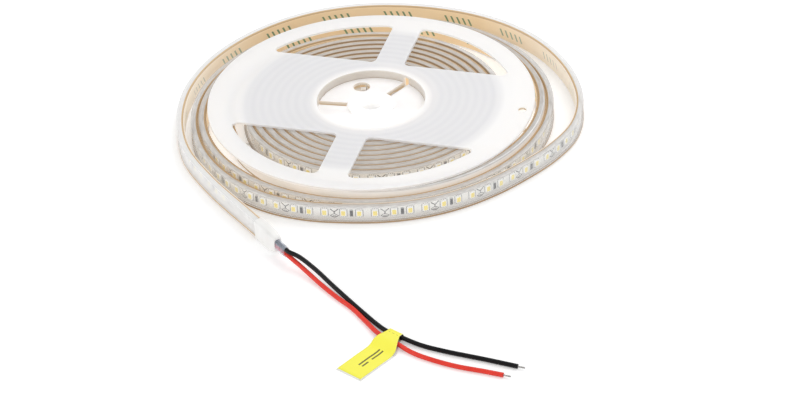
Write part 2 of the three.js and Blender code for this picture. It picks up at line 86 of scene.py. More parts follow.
# Camera at the photograph's viewing angle, aimed in front of the reel
cameraSet = {
    "aim": (12.41, -75.61, 0.0),  # mm from the reel's axis
    "distance": 1600.0,
    "elevation": 33.73,
    "roll": -2.8,
    "lens": 143.7,
    "sensor": 36.0,
    "clipEnd": 20.0,
}


def placeCamera(spec):
    tilt, roll = math.radians(spec["elevation"]), math.radians(spec["roll"])
    back = np.array([0.0, -math.cos(tilt), math.sin(tilt)])
    right = np.array([1.0, 0.0, 0.0])
    up = np.cross(back, right)
    data = bpy.data.cameras.new("photoCamera")
    data.lens = spec["lens"]
    data.sensor_width = spec["sensor"]
    data.clip_end = spec["clipEnd"]
    camera = addObject("photoCamera", data)
    place = reelCentre + (np.array(spec["aim"]) + back * spec["distance"]) * mm
    side = math.cos(roll) * right + math.sin(roll) * up
    top = -math.sin(roll) * right + math.cos(roll) * up
    stand(camera, place, side, top, back)
    bpy.context.scene.camera = camera


placeCamera(cameraSet)
print("camera placed")


# Quads of a grid of rows by columns, joined round where a direction closes
def gridQuads(rows, columns, closeColumns=False, closeRows=False):
    i = np.arange(rows if closeRows else rows - 1)[:, None]
    j = np.arange(columns if closeColumns else columns - 1)[None, :]
    i2, j2 = (i + 1) % rows, (j + 1) % columns
    corners = [i * columns + j, i * columns + j2, i2 * columns + j2, i2 * columns + j]
    return np.stack(np.broadcast_arrays(*corners), axis=-1).reshape(-1, 4)


# Triangles from a ring of neighbouring points, which starts at offset, to one point
def fan(point, offset, count, turnedOver=False):
    j = np.arange(count)
    sides = [offset + (j + 1) % count, offset + j]
    return np.stack([np.full(count, point), *(sides[::-1] if turnedOver else sides)], axis=1)


# What a piece rides on, and the CAD nodes that it stands for
def declare(piece, nodes):
    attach(piece, "root")
    if nodes:
        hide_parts(*nodes)


# A piece from arrays: points in mm about the reel's axis, faces as arrays of quads or triangles
def makePiece(name, points, faceSets, materials, slot, nodes=(), faceMaterial=None, **surfacePlaces):
    points = np.asarray(points, dtype=np.float64).reshape(-1, 3) * mm + reelCentre
    # The curves here are sampled more finely than the CAD's, so their bulges are held inside its box
    points = np.clip(points, cadLow, cadHigh)
    mesh = meshFromLists(name, points, [face for faces in faceSets for face in faces.tolist()])
    loops = np.concatenate([faces.ravel() for faces in faceSets])
    for material in materials:
        mesh.materials.append(material)
    if faceMaterial is not None:
        mesh.polygons.foreach_set("material_index", faceMaterial.astype(np.int32))
    for layerName, places in surfacePlaces.items():
        layer = mesh.uv_layers.new(name=layerName)
        layer.data.foreach_set("uv", places[loops].ravel())
    piece = addObject(name, mesh)
    declare(piece, nodes)
    return piece


# Signed volume of closed faces, so that a shape worked out inside out can be turned over
def outwards(points, faceSets):
    total = 0.0
    for faces in faceSets:
        for k in range(1, faces.shape[1] - 1):
            a, b, c = points[faces[:, 0]], points[faces[:, k]], points[faces[:, k + 1]]
            total += np.einsum("ij,ij->", a, np.cross(b, c))
    return [faces[:, ::-1] for faces in faceSets] if total < 0 else faceSets


# Cubic from b to c as t goes from 0 to 1, with the slopes that it leaves and arrives with
def cubicBetween(t, b, c, leave, arrive):
    start, end = 2 * t**3 - 3 * t**2 + 1, 3 * t**2 - 2 * t**3
    return start * b + (t**3 - 2 * t**2 + t) * leave + end * c + (t**3 - t**2) * arrive


# Smooth line through points: a centripetal spline, sampled evenly in each span
def smoothLine(corners, samples):
    p = np.asarray(corners, dtype=np.float64)
    p = np.vstack([2 * p[0] - p[1], p, 2 * p[-1] - p[-2]])
    a, b, c, d = p[:-3], p[1:-2], p[2:-1], p[3:]
    roots = np.maximum(np.linalg.norm(np.diff(p, axis=0), axis=1), 1e-8)[:, None] ** 0.5
    ab, bc, cd = roots[:-2], roots[1:-1], roots[2:]
    leave = ((b - a) / ab - (c - a) / (ab + bc) + (c - b) / bc) * bc
    arrive = ((c - b) / bc - (d - b) / (bc + cd) + (d - c) / cd) * bc
    t = (np.arange(samples) / samples)[None, :, None]
    line = cubicBetween(t, *(x[:, None, :] for x in (b, c, leave, arrive)))
    return np.vstack([line.reshape(-1, 3), p[-2]])


def lengthsAlong(line):
    return np.concatenate([[0.0], np.cumsum(np.linalg.norm(np.diff(line, axis=0), axis=1))])


# Values kept at a line's points, read off at lengths along it
def readAlong(line, values, places):
    s = lengthsAlong(line)
    return np.stack([np.interp(places, s, column) for column in values.T], axis=1)


# Unit direction along a line and the level direction to its right
def directions(line):
    along = np.gradient(line, axis=0)
    along /= np.linalg.norm(along, axis=1)[:, None]
    right = np.stack([along[:, 1], -along[:, 0], np.zeros(len(along))], axis=1)
    right /= np.linalg.norm(right, axis=1)[:, None]
    return along, right


# Rounded rectangle between u0..u1 and v0..v1: a quarter circle of the same number of points at each corner
def roundedRectangle(u0, u1, v0, v1, radius, perCorner=4):
    left, right, bottom, top = u0 + radius, u1 - radius, v0 + radius, v1 - radius
    quarter = np.linspace(0, math.pi / 2, perCorner)
    arcs = []
    for k, (u, v) in enumerate(((right, bottom), (right, top), (left, top), (left, bottom))):
        turn = quarter + (k - 1) * math.pi / 2
        arcs.append(np.stack([u + radius * np.cos(turn), v + radius * np.sin(turn)], axis=1))
    return np.vstack(arcs)


# Shader helpers: a value is a node's output or a plain number or colour
def plug(value, socket):
    if isinstance(value, bpy.types.NodeSocket):
        socket.id_data.links.new(value, socket)
    else:
        socket.default_value = (*value, 1.0) if socket.type == "RGBA" else value


# A node in the tree that one of its values comes from, with its first inputs plugged
def nodeFrom(kind, values, sockets=range(9)):
    tree = next(value.id_data for value in values if isinstance(value, bpy.types.NodeSocket))
    node = tree.nodes.new(kind)
    for value, k in zip(values, sockets):
        plug(value, node.inputs[k])
    return node


def mathNode(operation, *values, clamp=False):
    node = nodeFrom("ShaderNodeMath", values)
    node.operation = operation
    node.use_clamp = clamp
    return node.outputs[0]


def minus(a, b):
    return mathNode("SUBTRACT", a, b)


def scaled(value, factor, offset=0.0, clamp=False):
    return mathNode("MULTIPLY_ADD", value, factor, offset, clamp=clamp)


# Rises evenly from 0 at the start to 1 at the end, and stays there
def ramp(value, start, end):
    return scaled(value, 1 / (end - start), -start / (end - start), clamp=True)


def distance(value, centre):
    return mathNode("ABSOLUTE", minus(value, centre))


def above(value, limit):
    return mathNode("GREATER_THAN", value, limit)


def below(value, limit):
    return mathNode("LESS_THAN", value, limit)


# 1 where the value lies within half a width of the centre
def near(value, centre, halfWidth):
    return mathNode("COMPARE", value, centre, halfWidth)


# Product of values; of masks, the part that they share
def times(first, *others):
    for value in others:
        first = mathNode("MULTIPLY", first, value)
    return first


# Largest of the values; of masks, the part that any of them covers
def either(first, *others):
    for value in others:
        first = mathNode("MAXIMUM", first, value)
    return first


# A colour with others laid over it in turn, each where its mask says
def painted(colour, *layers):
    for mask, cover in layers:
        node = nodeFrom("ShaderNodeMix", (mask,))
        node.data_type = "RGBA"
        plug(colour, node.inputs[6])
        plug(cover, node.inputs[7])
        colour = node.outputs[2]
    return colour


def noise(vector, scale, detail=2.0):
    node = nodeFrom("ShaderNodeTexNoise", (vector, scale, detail), ("Vector", "Scale", "Detail"))
    return node.outputs["Fac"]


def axes(vector):
    return nodeFrom("ShaderNodeSeparateXYZ", (vector,)).outputs


def objectPlaces(tree):
    return tree.nodes.new("ShaderNodeTexCoord").outputs["Object"]


# The two coordinates of one of a piece's own UV maps
def mapPlaces(tree, layer):
    node = tree.nodes.new("ShaderNodeUVMap")
    node.uv_map = layer
    return axes(node.outputs["UV"])[:2]


def newMaterial(name, colour, roughness, **settings):
    material = bpy.data.materials.new(name)
    material.use_nodes = True
    material.diffuse_color = (*colour, 1.0)
    inputs = material.node_tree.nodes["Principled BSDF"].inputs
    for socket, value in {"Base_Color": colour, "Roughness": roughness, **settings}.items():
        plug(value, inputs[socket.replace("_", " ")])
    return material, material.node_tree, inputs


# Shared effect: soft mottling of a colour and of the gloss, with fine grain for a bump
def makeMottleGroup():
    group = bpy.data.node_groups.new("softMottle", "ShaderNodeTree")
    for way, name, kind in (
        ("INPUT", "Vector", "Vector"), ("INPUT", "Colour", "Color"), ("INPUT", "Darker", "Color"),
        ("INPUT", "Patch Scale", "Float"), ("INPUT", "Grain Scale", "Float"), ("INPUT", "Amount", "Float"),
        ("INPUT", "Roughness", "Float"), ("INPUT", "Roughness Spread", "Float"),
        ("OUTPUT", "Colour", "Color"), ("OUTPUT", "Roughness", "Float"), ("OUTPUT", "Grain", "Float"),
    ):
        group.interface.new_socket(name=name, in_out=way, socket_type="NodeSocket" + kind)
    entry = group.nodes.new("NodeGroupInput").outputs
    leave = group.nodes.new("NodeGroupOutput").inputs
    spread = scaled(noise(entry["Vector"], entry["Patch Scale"]), 2.4, -0.7, clamp=True)
    rough = scaled(minus(spread, 0.5), entry["Roughness Spread"], entry["Roughness"], clamp=True)
    plug(painted(entry["Colour"], (times(spread, entry["Amount"]), entry["Darker"])), leave["Colour"])
    plug(rough, leave["Roughness"])
    plug(noise(entry["Vector"], entry["Grain Scale"]), leave["Grain"])
    return group


mottleGroup = makeMottleGroup()


# A material with the mottling laid in; gives its inputs too, and its colour, so that a pattern can go on top
def mottled(
        name, colour, darker, patch=60.0, grain=2500.0, amount=0.5, roughness=0.4, spread=0.1, bump=0.00002,
        **settings):
    material, tree, inputs = newMaterial(name, colour, roughness, **settings)
    group = tree.nodes.new("ShaderNodeGroup")
    group.node_tree = mottleGroup
    values = (objectPlaces(tree), colour, darker, patch, grain, amount, roughness, spread)
    for value, socket in zip(values, group.inputs):
        plug(value, socket)
    grainBump = nodeFrom("ShaderNodeBump", (group.outputs["Grain"], bump), ("Height", "Distance"))
    plug(group.outputs["Colour"], inputs["Base Color"])
    plug(group.outputs["Roughness"], inputs["Roughness"])
    plug(grainBump.outputs["Normal"], inputs["Normal"])
    return material, inputs, group.outputs["Colour"]


print("helpers and shared shader group ready")

# Lead wires: two loose cords from the end cap to their tinned ends
freeEnd = {
    "cap": (-56.0, -102.2, 0.9),  # where the tape ends and the cap starts
    "along": (0.53, -0.848),
    "middle": (2.1, 5.0),  # mm from the tape out and up to the sleeve's middle
}
wireSpec = {
    "radius": 1.15,
    "spacing": 2.5,
    "start": 7.9,  # mm past the cap's mouth
    "straight": 27.5,
    "sides": 20,
    "step": 0.9,
    "samples": 24,
    "onFloor": 1.2,
    "inLabel": 1.75,
}
tipSpec = {"radius": 0.4, "reach": 3.6, "gap": 0.02, "points": 28, "strands": 7, "twist": 1.9, "dip": 0.28}
capOrigin = np.array(freeEnd["cap"])
capAlong = np.array([*freeEnd["along"], 0.0])
capAlong /= np.linalg.norm(capAlong)
capOut = np.array([capAlong[1], -capAlong[0], 0.0])
sleeveMiddle, middleHeight = freeEnd["middle"]


def wireRoute(side, loose):
    start, end = wireSpec["start"], wireSpec["straight"]
    middle = capOut * sleeveMiddle + upward * (middleHeight + side * wireSpec["spacing"] / 2)
    lead = [capOrigin + capAlong * s + middle for s in (start, (start + end) / 2, end - 3, end)]
    line = smoothLine(np.vstack([lead, loose]), wireSpec["samples"])
    length = lengthsAlong(line)[-1]
    return readAlong(line, line, np.linspace(0, length, int(length / wireSpec["step"])))


low, high = wireSpec["onFloor"], wireSpec["inLabel"]
blackRoute = wireRoute(1, [
    (-38.1, -130.4, 6.5), (-30.0, -139.2, 4.4), (-22.6, -149.4, 2.5), (-15.0, -160.7, low + 0.2),
    (-7.9, -172.0, low), (-1.8, -181.7, low + 0.1), (2.64, -188.16, high), (10.3, -194.7, high),
    (18.9, -200.6, low), (29.5, -206.1, low), (48.2, -214.1, low), (63.1, -220.8, low),
])
redRoute = wireRoute(-1, [
    (-38.3, -132.6, 3.4), (-27.8, -147.4, low + 0.3), (-20.5, -158.0, low), (-12.9, -168.3, low),
    (-6.6, -179.6, low + 0.1), (-0.87, -190.25, high), (8.4, -199.96, high), (13.6, -205.1, low),
    (19.9, -210.1, low), (33.8, -218.0, low), (47.8, -223.5, low), (56.1, -226.9, low),
])


# A closed tube: a ring carried along a line, its radius dipping with the cosine of its strands, and turned
# further with the length where it is twisted. Each end closes through a quarter-size ring and a middle point
def tubeMesh(line, radius, sides, twist=0.0, strands=0, dip=0.0):
    along, right = directions(line)
    top = np.cross(right, along)
    around = np.linspace(0, fullTurn, sides, endpoint=False)[None, :]
    turn = (around + twist * lengthsAlong(line)[:, None])[..., None]
    ring = (radius * (1 - dip * (0.5 + 0.5 * np.cos(strands * around))))[..., None]
    points = line[:, None] + ring * (np.cos(turn) * right[:, None] + np.sin(turn) * top[:, None])
    inset = [points[k] * 0.25 + line[k] * 0.75 for k in (0, -1)]
    points = np.vstack([inset[0], points.reshape(-1, 3), inset[1], line[0], line[-1]])
    rows = len(line) + 2
    ends = [fan(rows * sides, 0, sides), fan(rows * sides + 1, (rows - 1) * sides, sides, turnedOver=True)]
    return points, outwards(points, [gridQuads(rows, sides, closeColumns=True), np.vstack(ends)])


def insulation(name, colour, darker):
    return mottled(
        name, colour, darker, patch=260.0, grain=1800.0, amount=0.7, roughness=0.27, spread=0.12,
        bump=0.00001, Specular_IOR_Level=0.2)[0]


blackInsulation = insulation("blackInsulation", (0.004, 0.004, 0.005), (0.009, 0.009, 0.010))
redInsulation = insulation("redInsulation", (0.80, 0.055, 0.035), (0.68, 0.038, 0.026))
tinnedCopper = mottled(
    "tinnedCopper", (0.50, 0.49, 0.48), (0.20, 0.19, 0.18), patch=900.0, grain=6000.0, amount=0.8,
    roughness=0.32, spread=0.2, Metallic=0.9)[0]


def makeTip(name, node, route, spec):
    along = route[-1] - route[-2]
    along[2] = 0.0
    along /= np.linalg.norm(along)
    line = route[-1] + along * spec["gap"] + along * np.linspace(0, spec["reach"], spec["points"])[:, None]
    strands = spec["strands"]
    points, faces = tubeMesh(line, spec["radius"], 4 * strands, spec["twist"], strands, spec["dip"])
    return makePiece(name, points, faces, [tinnedCopper], "tinned_copper", [node])


def makeWire(colour, route, material):
    name = colour + "Wire"
    points, faces = tubeMesh(route, wireSpec["radius"], wireSpec["sides"])
    piece = makePiece(name, points, faces, [material], colour + "_insulation", [colour + "_wire"])
    tip = makeTip(name + "Tip", colour + "_tinned_end", route, tipSpec)


# Flag label: a leaf folded round both wires, its lower half a little longer and wider than its upper one
labelSpec = {
    "origin": (8.15, -191.0),
    "out": (-0.67, -0.742),
    "leaf": 0.16,
    "length": 37.3,
    "short": 0.8,
    "fold": -0.1,
    "redAt": 6.5,
    "clear": 0.05,
    "overWire": 0.3,
    "rise": 0.12,  # higher still between the fold and the red wire
    "samples": 8,
    "outline": ((-1.0, -3.9, 3.9), (3.0, -3.9, 3.9), (10.2, -5.7, 8.0), (11.5, -5.7, 8.6), (40.0, -5.7, 8.6)),
    "wider": (0.15, 0.7, 9.0),  # on the left, and on the right past so many mm
    "columns": 25,
    "bars": ((21.0, 0.6, 7.5), (17.5, 2.6, 4.0), (26.2, 2.6, 2.2)),  # mm along, mm across, half length
    "barHalf": 0.45,
}


# The leaf's line, seen from its side, runs in along the floor, round the fold and out over the wires.
# Each point of it becomes a row across the leaf, as wide as the outline is there
def makeLabel(spec):
    origin, out = np.array(spec["origin"]), np.array(spec["out"]) / np.linalg.norm(spec["out"])
    across = np.array([-out[1], out[0]])
    leaf, half, length = spec["leaf"], spec["leaf"] / 2, spec["length"]
    radius, overWire, rise = wireSpec["radius"], spec["overWire"], spec["rise"]
    floor, top = spec["clear"] + half, high + radius + overWire + rise
    fold, ridge = spec["fold"] + half, spec["redAt"] + radius + overWire
    corners = [
        (length, floor), (length * 0.7, floor), (length * 0.4, floor), (3.0, floor),
        (fold + 0.7, floor + 0.02), (fold + 0.12, floor + 0.6), (fold, (floor + top) / 2),
        (fold + 0.12, top - 0.6), (fold + 0.75, top - 0.03), (ridge - 3.5, top), (ridge, top - rise),
        (ridge + 3.0, top - 1.35), (ridge + 6.0, floor + leaf + 0.12), (length * 0.6, floor + leaf + 0.05),
        (length - spec["short"], floor + leaf + 0.05),
    ]
    line = smoothLine([(t, 0.0, z) for t, z in corners], spec["samples"])[:, [0, 2]]
    along = np.gradient(line, axis=0)
    along /= np.linalg.norm(along, axis=1)[:, None]
    normal = np.stack([along[:, 1], -along[:, 0]], axis=1)
    ts, left, right = (np.array(column) for column in zip(*spec["outline"]))
    widerLeft, widerRight, widerFrom = spec["wider"]
    lower = np.arange(len(line)) < np.argmin(line[:, 0])
    w0 = np.interp(line[:, 0], ts, left) - np.where(lower, widerLeft, 0.0)
    w1 = np.interp(line[:, 0], ts, right) + np.where(lower & (line[:, 0] > widerFrom), widerRight, 0.0)
    w = w0[:, None] + (w1 - w0)[:, None] * np.linspace(0, 1, spec["columns"])[None, :]
    sheets = []
    for side in (half, -half):
        t, z = (line + normal * side).T[:, :, None] + 0 * w
        level = origin + out * t[..., None] + across * w[..., None]
        sheets.append(np.concatenate([level, z[..., None]], axis=-1).reshape(-1, 3))
    rows, columns = w.shape
    outer, index = gridQuads(rows, columns), np.arange(rows * columns).reshape(rows, columns)
    inner = outer[:, ::-1] + rows * columns
    border = np.concatenate([index[0, :-1], index[:-1, -1], index[-1, :0:-1], index[:0:-1, 0]])
    following = np.roll(border, -1)
    rim = np.stack([border, border + rows * columns, following + rows * columns, following], axis=1)
    points = np.vstack(sheets)
    place = np.stack([line[:, 0][:, None] + 0 * w, w], axis=-1).reshape(-1, 2)
    kind = np.concatenate([np.ones(len(outer)), np.zeros(len(inner)), np.ones(len(rim))])
    return makePiece(
        "flagLabel", points, outwards(points, [np.vstack([outer, inner, rim])]), [labelFace, labelBack],
        "yellow_label", ["wire_label"], kind, along=np.vstack([place, place]))


labelFace, labelInputs, faceColour = mottled(
    "labelFace", (0.96, 0.92, 0.085), (0.93, 0.86, 0.065), patch=90.0, grain=3000.0, roughness=0.5)
labelBack = mottled("labelBack", (0.88, 0.88, 0.85), (0.80, 0.80, 0.76), patch=200.0, roughness=0.6)[0]
# Generic print: one long bar, two short ones and a dashed fold line
leafT, leafW = mapPlaces(labelFace.node_tree, "along")
bars = [times(near(leafT, t, half), near(leafW, w, labelSpec["barHalf"])) for t, w, half in labelSpec["bars"]]
foldDashes = near(mathNode("PINGPONG", leafW, 1.3), 0.0, 0.7)
foldLine = times(near(leafT, 2.9, 0.16), foldDashes, near(leafW, 0.0, 2.9))
printed = painted(
    faceColour, (times(either(*bars), 0.9), (0.06, 0.05, 0.02)), (times(foldLine, 0.6), (0.30, 0.26, 0.05)))
plug(printed, labelInputs["Base Color"])

flagLabel = makeLabel(labelSpec)
makeWire("black", blackRoute, blackInsulation)
makeWire("red", redRoute, redInsulation)
print("wires and label made")

# Strip: the tape's middle line, anticlockwise from the hub to the free end, in mm and degrees
stripSpec = {
    "hubRadius": 29.5,
    "hubGap": 0.3,
    "woundTurns": 7.5,
    "woundStep": 20.0,
    "looseStep": 12.0,
    "leaveCoil": -459.0,
    "settle": 90.0,
    "lateClimb": 1.8,
    "reelRadius": 85.0,
    "drop": (186.0, 54.0),  # where it starts down to the floor, and over how far
    "tableEnd": 930.0,
    "capRise": 0.9,
    "pitch": 4.45,
    "base": 1.75,
    "sleeve": (0.35, 3.85, 0.0, 10.0, 0.5),  # sections: inner and outer side, bottom, top and corner
    "cavity": (0.95, 2.95, 0.8, 9.2, 0.15),
    "tape": (-0.25, 0.25, 0.35, 9.65, 0.12, 3),
    "circuit": (1.1, 1.4, 1.0, 9.0, 0.08, 2),
    "plugHead": 1.65,
    "circuitStart": 7.65,
    "capOverlap": 6.0,
    "circuitOverlap": 7.6,
    "samples": 6,
}
# Slack in mm outside an even climb from the coil to the rim and on round it
looseSlack = np.array([
    (-459, 0.3), (-360, 1.07), (-270, 0.87), (-180, 0.24), (-99, 0.48), (-45, 0.22),
    (0, 1.2), (25, 0.09), (50, -1.82), (75, -3.93), (100, -4.9), (125, -5.2), (150, -4.4),
    (170, -2.65), (191, -0.86), (213, -0.43), (236, -1.12), (261, -1.13), (310, -0.23), (360, 1.3),
    (385, 0.19), (403, -0.68), (420, -2.29), (440, -4.04), (460, -4.84), (485, -5.1), (500, -4.75),
    (513, -3.85), (526, -2.8), (540, -1.78), (555, -0.66), (572, 0.93), (590, 2.11), (604, 1.43),
    (621, -0.78), (650, -0.34), (668, 0.54), (679, 2.01), (687, 4.51), (698, 8.57), (706, 11.27),
    (716, 12.35), (736, 11.3), (761, 9.99), (793, 6.3), (806, 5.75), (818, 5.5), (831, 4.8),
    (860, 2.3), (900, 1.28), (918, 2.55), (929, 3.12),
])
freeEndSlack = np.array([(937.46, 4.7), (946.81, 8.36), (954.4, 13.15), (961.28, 19.66)])


# Rises from 0 to 1 with level ends
def smoothStep(t):
    t = np.clip(t, 0, 1)
    return t * t * (3 - 2 * t)


# Slack at an angle: a cubic through the table, its slopes taken from the neighbours on each side
def slackAt(angle):
    x, y = looseSlack.T
    k = np.clip(np.searchsorted(x, angle, side="left") - 1, 1, len(x) - 2)
    a, b, c, d = k - 1, k, k + 1, np.minimum(k + 2, len(x) - 1)
    span = x[c] - x[b]
    slopeB = (y[c] - y[a]) / (x[c] - x[a]) * span
    slopeC = np.where(d > c, (y[d] - y[b]) / np.maximum(x[d] - x[b], 1) * span, y[c] - y[b])
    cubic = cubicBetween((angle - x[b]) / span, y[b], y[c], slopeB, slopeC)
    straight = y[b] + (y[a] - y[b]) * (x[b] - angle) / (x[b] - x[a])
    return np.where(angle <= x[b], straight, cubic)


def aroundReel(radius, angle, height):
    turn = np.radians(angle)
    return np.stack([radius * np.cos(turn), radius * np.sin(turn), height], axis=1)


# The coil is an even spiral. The loose turns climb evenly to the rim, with the slack added, and come down.
# The line starts a little way in, and goes on straight beyond the last corner
def stripLine(spec, start, beyond=0.0):
    leave, step, turns, pitch = spec["leaveCoil"], spec["woundStep"], spec["woundTurns"], spec["pitch"]
    first = (spec["hubRadius"] + spec["hubGap"]) / math.cos(math.radians(step / 2)) + spec["tape"][1]
    last = first + pitch * turns

    def evenClimb(angle):
        climb = smoothStep(((angle - leave) / -leave) ** spec["lateClimb"])
        return last + (spec["reelRadius"] - last) * climb + pitch * np.maximum(angle, 0) / 360

    wound = np.arange(leave - 360 * turns, leave - 1, step)
    coil = aroundReel(first + pitch * (wound - wound[0]) / 360, wound, 0 * wound + spec["base"])
    firstLoose = np.arange(leave, leave + 359, step)
    loose = np.concatenate([firstLoose, np.arange(leave + 360, spec["tableEnd"], spec["looseStep"])])
    follow = last + pitch * (loose - leave) / 360
    settle = smoothStep((loose - leave) / spec["settle"])
    dropFrom, dropOver = spec["drop"]
    height = spec["base"] * (1 - smoothStep((loose - dropFrom) / dropOver))
    turn = aroundReel(follow + (evenClimb(loose) + slackAt(loose) - follow) * settle, loose, height)
    angles, slack = freeEndSlack.T
    lift = spec["capRise"] * smoothStep(np.array([1, 2, 3, 4]) / 3)
    end = aroundReel(evenClimb(angles) + slack, angles, lift)
    past = [end[-1] + capAlong * beyond] if beyond else []
    line = smoothLine(np.vstack([coil, turn, end, *past]), spec["samples"])
    return np.vstack([readAlong(line, line, [start]), line[lengthsAlong(line) > start + 0.05]])


# A closed section carried along the strip's line; a second section hollows it out. The surface places are
# the length along the line with the height, and the distance outwards with the height
def stripSolid(line, outer, inner=None):
    right = directions(line)[1]
    s = lengthsAlong(line)
    n, rows = len(outer), len(line)
    base, last = rows * n, (rows - 1) * n

    def carried(section):
        spread = right[:, None, :] * section[None, :, 0, None] + upward * section[None, :, 1, None]
        return (line[:, None, :] + spread).reshape(-1, 3)

    def places(section):
        return np.stack([np.repeat(s, n), np.tile(section[:, 1], rows)], axis=1)

    quads = gridQuads(rows, n, closeColumns=True)
    if inner is None:
        middle = outer.mean(axis=0)
        ends = [line[k] + right[k] * middle[0] + upward * middle[1] for k in (0, -1)]
        points = np.vstack([carried(outer), ends])
        caps = np.vstack([fan(base, 0, n), fan(base + 1, last, n, turnedOver=True)])
        along = np.vstack([places(outer), [0, middle[1]], [s[-1], middle[1]]])
        return points, outwards(points, [quads, caps]), {"along": along}
    j = np.arange(n)
    k = (j + 1) % n
    points = np.vstack([carried(outer), carried(inner)])
    rings = [np.stack([end + k, end + j, base + end + j, base + end + k], axis=1) for end in (0, last)]
    faces = outwards(points, [np.vstack([quads, quads[:, ::-1] + base, rings[0], rings[1][:, ::-1]])])
    along = np.vstack([places(outer), places(inner)])
    across = np.vstack([np.tile(outer, (rows, 1)), np.tile(inner, (rows, 1))])
    return points, faces, {"along": along, "across": across}


def makeStripPiece(name, line, material, slot, node, *sections):
    sections = [roundedRectangle(*stripSpec[section]) for section in sections]
    points, faces, places = stripSolid(line, *sections)
    makePiece(name, points, faces, [material], slot, [node], **places)


# Clear silicone: see-through when looked at squarely, cloudier at a grazing look; painted with a faint glow
# of its colour
def silicone(name, colour, darker, clear, cloudy, roughness, glow):
    material, inputs, surface = mottled(
        name, colour, darker, patch=120.0, grain=900.0, roughness=roughness, spread=0.12, bump=0.00001,
        IOR=1.41, Emission_Color=colour, Emission_Strength=glow)
    weight = material.node_tree.nodes.new("ShaderNodeLayerWeight")
    weight.inputs["Blend"].default_value = 0.35
    alpha = scaled(weight.outputs["Facing"], cloudy - clear, clear, clamp=True)
    plug(alpha, inputs["Alpha"])
    return material, inputs, surface, alpha


# The sleeve: the tape shows as a tan line along the top's inner edge and the face's bottom edge
sleeveLook = {
    "topFrom": 9.3,  # mm up the section
    "bottomTo": 1.3,
    "lineTo": 1.15,  # mm out from the tape
    "faceFrom": 2.6,
    "rimFrom": 3.0,
    "coilEnd": 2400.0,  # mm along the line
    "rimMiddle": 2670.0,
    "rimReach": (145.0, 95.0),
    "outermost": (520.0, 400.0),  # mm before the line's end
    "nearLeads": (330.0, 240.0),
    # The top edge's painted shade, and the tan line in the coil, on the loose turns and, painted lit, on the
    # outermost
    "grey": (0.46, 0.435, 0.41),
    "coilTan": (0.28, 0.185, 0.105),
    "looseTan": (0.42, 0.275, 0.14),
    "outerTan": (0.60, 0.43, 0.245),
}
sleeveLine = stripLine(stripSpec, stripSpec["plugHead"], stripSpec["capOverlap"])
sleeveSilicone, sleeveInputs, sleeveColour, sleeveAlpha = silicone(
    "sleeveSilicone", (0.86, 0.86, 0.86), (0.79, 0.79, 0.79), 0.045, 0.56, 0.2, 0.085)
sleeveU, sleeveV = mapPlaces(sleeveSilicone.node_tree, "across")
sleeveS = mapPlaces(sleeveSilicone.node_tree, "along")[0]
topEdge = above(sleeveV, sleeveLook["topFrom"])
faceBottom = times(below(sleeveV, sleeveLook["bottomTo"]), above(sleeveU, sleeveLook["faceFrom"]))
tanLine = either(times(topEdge, below(sleeveU, sleeveLook["lineTo"])), faceBottom)
# Painted light: the outermost turn, clear of the rest, is painted paler all round the back and the left, and
# given a painted glow. Towards the leads its face turns away and grows milkier, with a painted glow of its
# own
beforeEnd = minus(float(lengthsAlong(sleeveLine)[-1]), sleeveS)
outermost = ramp(beforeEnd, *sleeveLook["outermost"])
nearLeads = ramp(beforeEnd, *sleeveLook["nearLeads"])
# Painted shade: seen from above, the top edge is greyed, fully in short runs for the parts inside, less on
# the outermost turn
stretched = nodeFrom("ShaderNodeCombineXYZ", (times(sleeveS, 0.16), sleeveU)).outputs[0]
innards = scaled(noise(stretched, 1.0, 3.0), 2.2, -0.75, clamp=True)
topShade = times(topEdge, scaled(innards, 0.5, 0.5), scaled(outermost, -0.65, 1.0))
# The tan line is painted at three brightnesses: darkest in the coil, and palest on the outermost turn as
# painted light
inCoil = below(sleeveS, sleeveLook["coilEnd"])
tan = painted(sleeveLook["looseTan"], (outermost, sleeveLook["outerTan"]), (inCoil, sleeveLook["coilTan"]))
sleeveTint = painted(sleeveColour, (topShade, sleeveLook["grey"]), (tanLine, tan))
plug(sleeveTint, sleeveInputs["Base Color"])
# Light carried along the silicone where the turn passes under the rim
underRim = ramp(distance(sleeveS, sleeveLook["rimMiddle"]), *sleeveLook["rimReach"])
underRim = times(underRim, above(sleeveU, sleeveLook["rimFrom"]))
haze = sleeveAlpha
for mask, share in ((topEdge, 0.42), (underRim, 0.85), (nearLeads, 0.16), (tanLine, 0.7)):
    haze = scaled(mask, share, haze, clamp=True)
plug(haze, sleeveInputs["Alpha"])
# Painted glow: white under the rim, on the outermost turn and near the leads, and tan along the tan line
carriedLight = painted(
    sleeveTint, (times(underRim, 0.9), (1.35, 1.4, 1.45)), (times(outermost, 0.25), (2.0, 2.0, 2.0)),
    (times(nearLeads, 0.12), (2.6, 2.6, 2.6)), (tanLine, tan))
plug(carriedLight, sleeveInputs["Emission Color"])
makeStripPiece(
    "siliconeSleeve", sleeveLine, sleeveSilicone, "clear_silicone", "silicone_sleeve", "sleeve", "cavity")
print("sleeve made,", len(sleeveLine), "stations")


# A face that gives off a little light in its own colour
def glowingFace(colour, inputs):
    plug(colour, inputs["Base Color"])
    plug(colour, inputs["Emission Color"])


